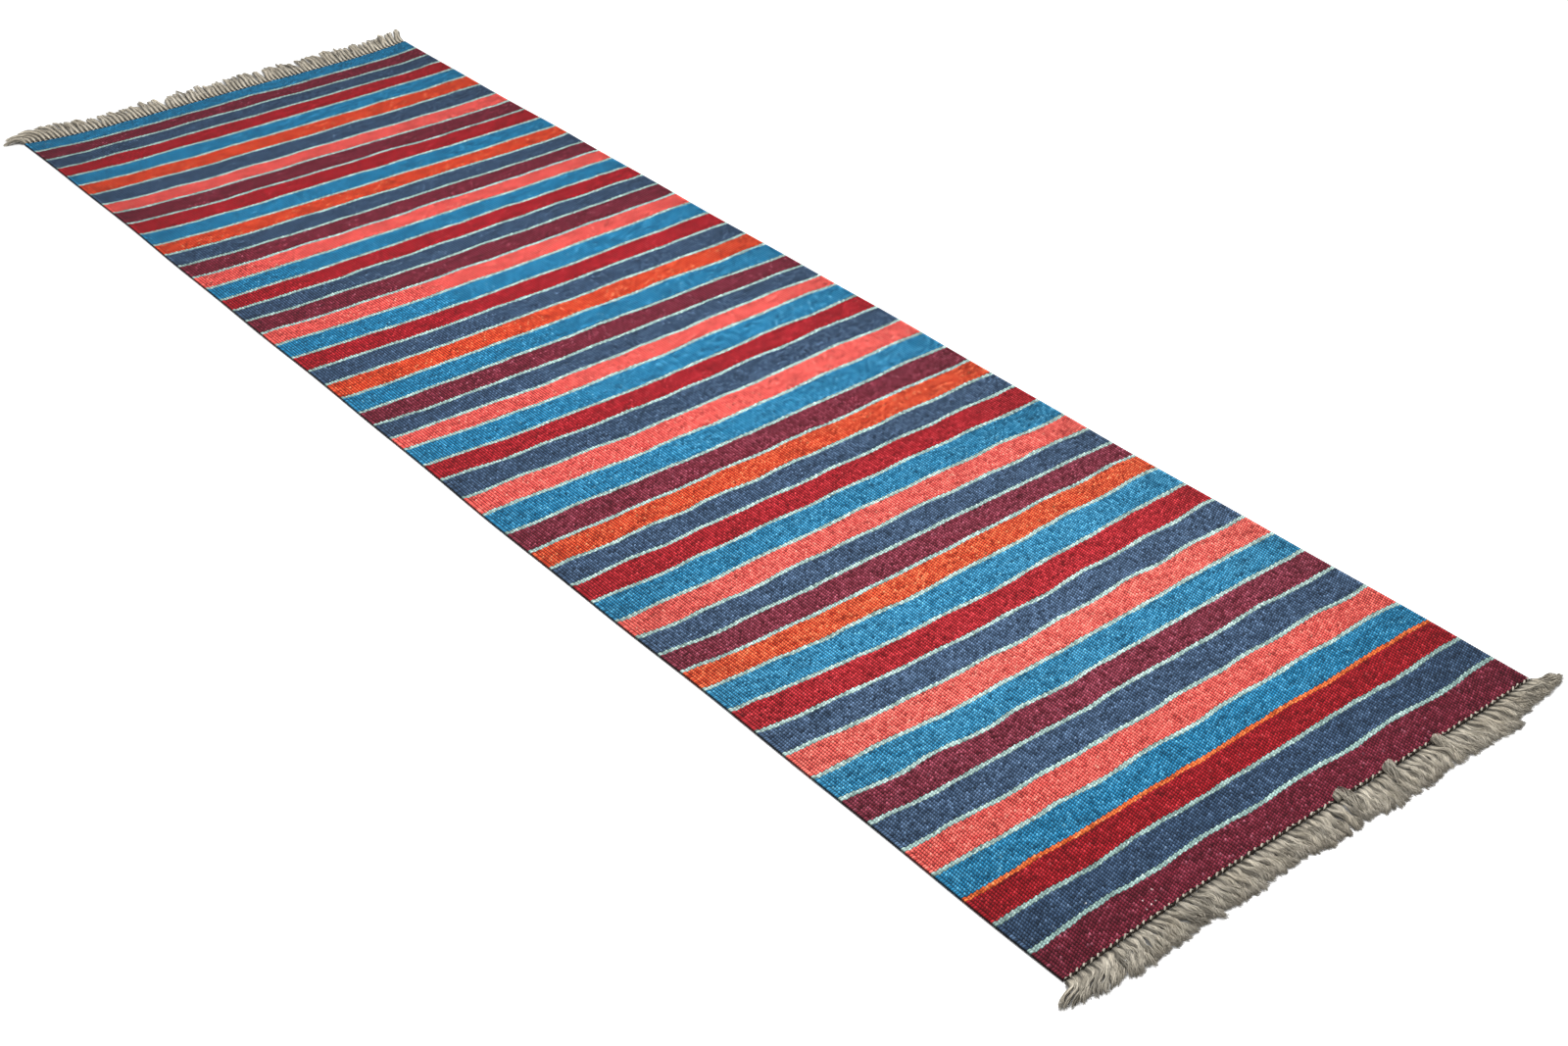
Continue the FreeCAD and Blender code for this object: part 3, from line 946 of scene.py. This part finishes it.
def strand_heights(rise, puff):
    """The Z of each strand at even steps from its root to its tip; rise is how high it lies, in mm."""
    count = len(rise)
    heights = np.stack([
        np.full(count, ROOT_HEIGHT),
        RANDOM.normal(*SHOULDER_HEIGHT, count),
        np.clip(rise + INNER_ADDED, *INNER_LIMITS),
        np.clip(rise + RANDOM.normal(*MIDDLE_ADDED, count), *MIDDLE_LIMITS),
        np.clip(OUTER_SHARE * rise, *OUTER_LIMITS),
        np.clip(RANDOM.normal(*TIP_HEIGHT, count), *TIP_LIMITS),
    ], axis=1)
    return heights * MM * puff[:, None]


def fringe_light(threads, strands, look):
    """How much painted light each filament gets: painted shade near the floor, and away from the middle of
    its tassel.
    """
    each = look["strands"] * look["filaments"]
    middle = strands[..., 0].reshape(-1, look["strands"], FRINGE_STEPS).mean(axis=1)
    aside = abs(threads[..., 0] - np.repeat(middle, each, axis=0)) / np.interp(FRINGE_SHARE, *CORE)
    gap = np.interp(aside, look["tassel"], SHARE) * np.interp(FRINGE_SHARE, SHARE, look["gap_dark"])
    along = np.interp(FRINGE_SHARE, LIGHT_PLACES, look["light"])
    depth = np.interp(threads[..., 2], DEPTHS, look["depth_light"])
    return along * depth * (1 - gap)


def add_fringe(name, tassels, look):
    """One fringe: clumps of tassels that lean together, each tassel of strands, each strand of filaments."""
    clump = clumps(len(tassels), look["clump_sizes"])
    number = clump.max() + 1
    clump_lean = RANDOM.normal(0, look["clump_lean"], number)[clump]
    clump_length = RANDOM.normal(1, look["clump_length"], number)[clump]
    clump_rise = RANDOM.uniform(*look["mat"], number)[clump]
    clump_middle = np.array([tassels[clump == c].mean() for c in clump])

    tassel = np.repeat(np.arange(len(tassels)), look["strands"])
    place_in_tassel = np.arange(look["strands"]) - (look["strands"] - 1) / 2
    offset = np.tile(place_in_tassel, len(tassels)) * look["strand_gap"]
    x = tassels[tassel] + offset
    count = len(x)
    own_lean = RANDOM.normal(0, look["strand_lean"], count)
    lean = np.radians(from_table(look["lean"], x)) + clump_lean[tassel] + own_lean
    lean += look["gather"] * (clump_middle[tassel] - x) / GATHER_REACH
    own_length = RANDOM.normal(1, LENGTH_SPREAD, count)
    length = look["length"] * from_table(look["reach"], x) * clump_length[tassel] * own_length
    rise = clump_rise[tassel] + RANDOM.normal(0, RISE_SPREAD, count)
    heights = strand_heights(rise, from_table(look["puff"], x))
    root = end_line(x, look["outwards"]) + look["outwards"] * ROOT_REACH
    root += RANDOM.normal(0, ROOT_SPREAD, count)
    strands = strand_paths(x + edge_shift(x, root), SQUEEZE * offset, root, length, lean, heights, look)
    fullness = from_table(look["fullness"], x)
    if look is NEAR_FRINGE:
        fold_back(strands, tassels[tassel], fullness)
    threads = filaments(strands, fullness, look)

    strand_spread, filament_spread = TONE_SPREADS
    strand_tone = RANDOM.normal(look["tone"], strand_spread, count)
    tone = np.repeat(strand_tone, look["filaments"]) * RANDOM.normal(1, filament_spread, len(threads))
    looks = {"tone": tone[:, None], "crest": fringe_light(threads, strands, look)}
    radius = (np.interp(FRINGE_SHARE, *THINNING) * look["radius"])[None]
    piece = add_tubes(name, threads, radius, FILAMENT_SIDES, (1, 0, 0), MATERIALS["warp"], looks)
    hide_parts("fringe_tassels")
    return piece


def add_ends():
    """The twining and the fringe of both ends."""
    far_tassels = tassel_places(FAR_TASSEL_RIBS)
    near_tassels = tassel_places(NEAR_TASSEL_RIBS)
    far = add_twining("far", 1, far_tassels) + [add_fringe("far_fringe", far_tassels, FAR_FRINGE)]
    near = add_twining("near", -1, near_tassels) + [add_fringe("near_fringe", near_tassels, NEAR_FRINGE)]
    return far, near


# ---------------------------------------------------------------- floor, light and camera

def add_floor():
    mesh = bpy.data.meshes.new("floor")
    reach = FLOOR_REACH
    corners = [(-reach, -reach, 0), (reach, -reach, 0), (reach, reach, 0), (-reach, reach, 0)]
    mesh.from_pydata(corners, [], [(0, 1, 2, 3)])
    floor = bpy.data.objects.new("floor", mesh)
    bpy.context.scene.collection.objects.link(floor)
    material = bpy.data.materials.new("floor")
    material.use_nodes = True
    shader = material.node_tree.nodes["Principled BSDF"]
    shader.inputs["Base Color"].default_value = FLOOR_COLOUR
    shader.inputs["Roughness"].default_value = 1.0
    shader.inputs["Specular IOR Level"].default_value = 0.0
    mesh.materials.append(material)


def add_studio():
    """White light from all around, and one soft lamp above the rug."""
    world = bpy.data.worlds.new("studio")
    world.use_nodes = True
    background = world.node_tree.nodes["Background"]
    background.inputs["Color"].default_value = (1, 1, 1, 1)
    background.inputs["Strength"].default_value = WORLD_STRENGTH
    bpy.context.scene.world = world
    lamp = bpy.data.lights.new("key", "AREA")
    lamp.shape = "DISK"
    lamp.size = KEY_SIZE
    lamp.energy = KEY_POWER
    key = bpy.data.objects.new("key", lamp)
    key.location = KEY_PLACE
    key.rotation_euler = (KEY_AIM - Vector(KEY_PLACE)).to_track_quat("-Z", "Y").to_euler()
    bpy.context.scene.collection.objects.link(key)
    bpy.context.scene.view_settings.view_transform = "Standard"


def add_camera():
    data = bpy.data.cameras.new("camera")
    data.lens = CAMERA_LENS
    camera = bpy.data.objects.new("camera", data)
    turn = (CAMERA_AIM - CAMERA_PLACE).to_track_quat("-Z", "Y")
    roll = Quaternion((0, 0, 1), CAMERA_ROLL)
    camera.rotation_mode = "QUATERNION"
    camera.rotation_quaternion = turn @ roll
    camera.location = CAMERA_PLACE
    bpy.context.scene.collection.objects.link(camera)
    bpy.context.scene.camera = camera


add_floor()
add_studio()
add_camera()
stripes = add_stripes()
add_warps()
add_ends()
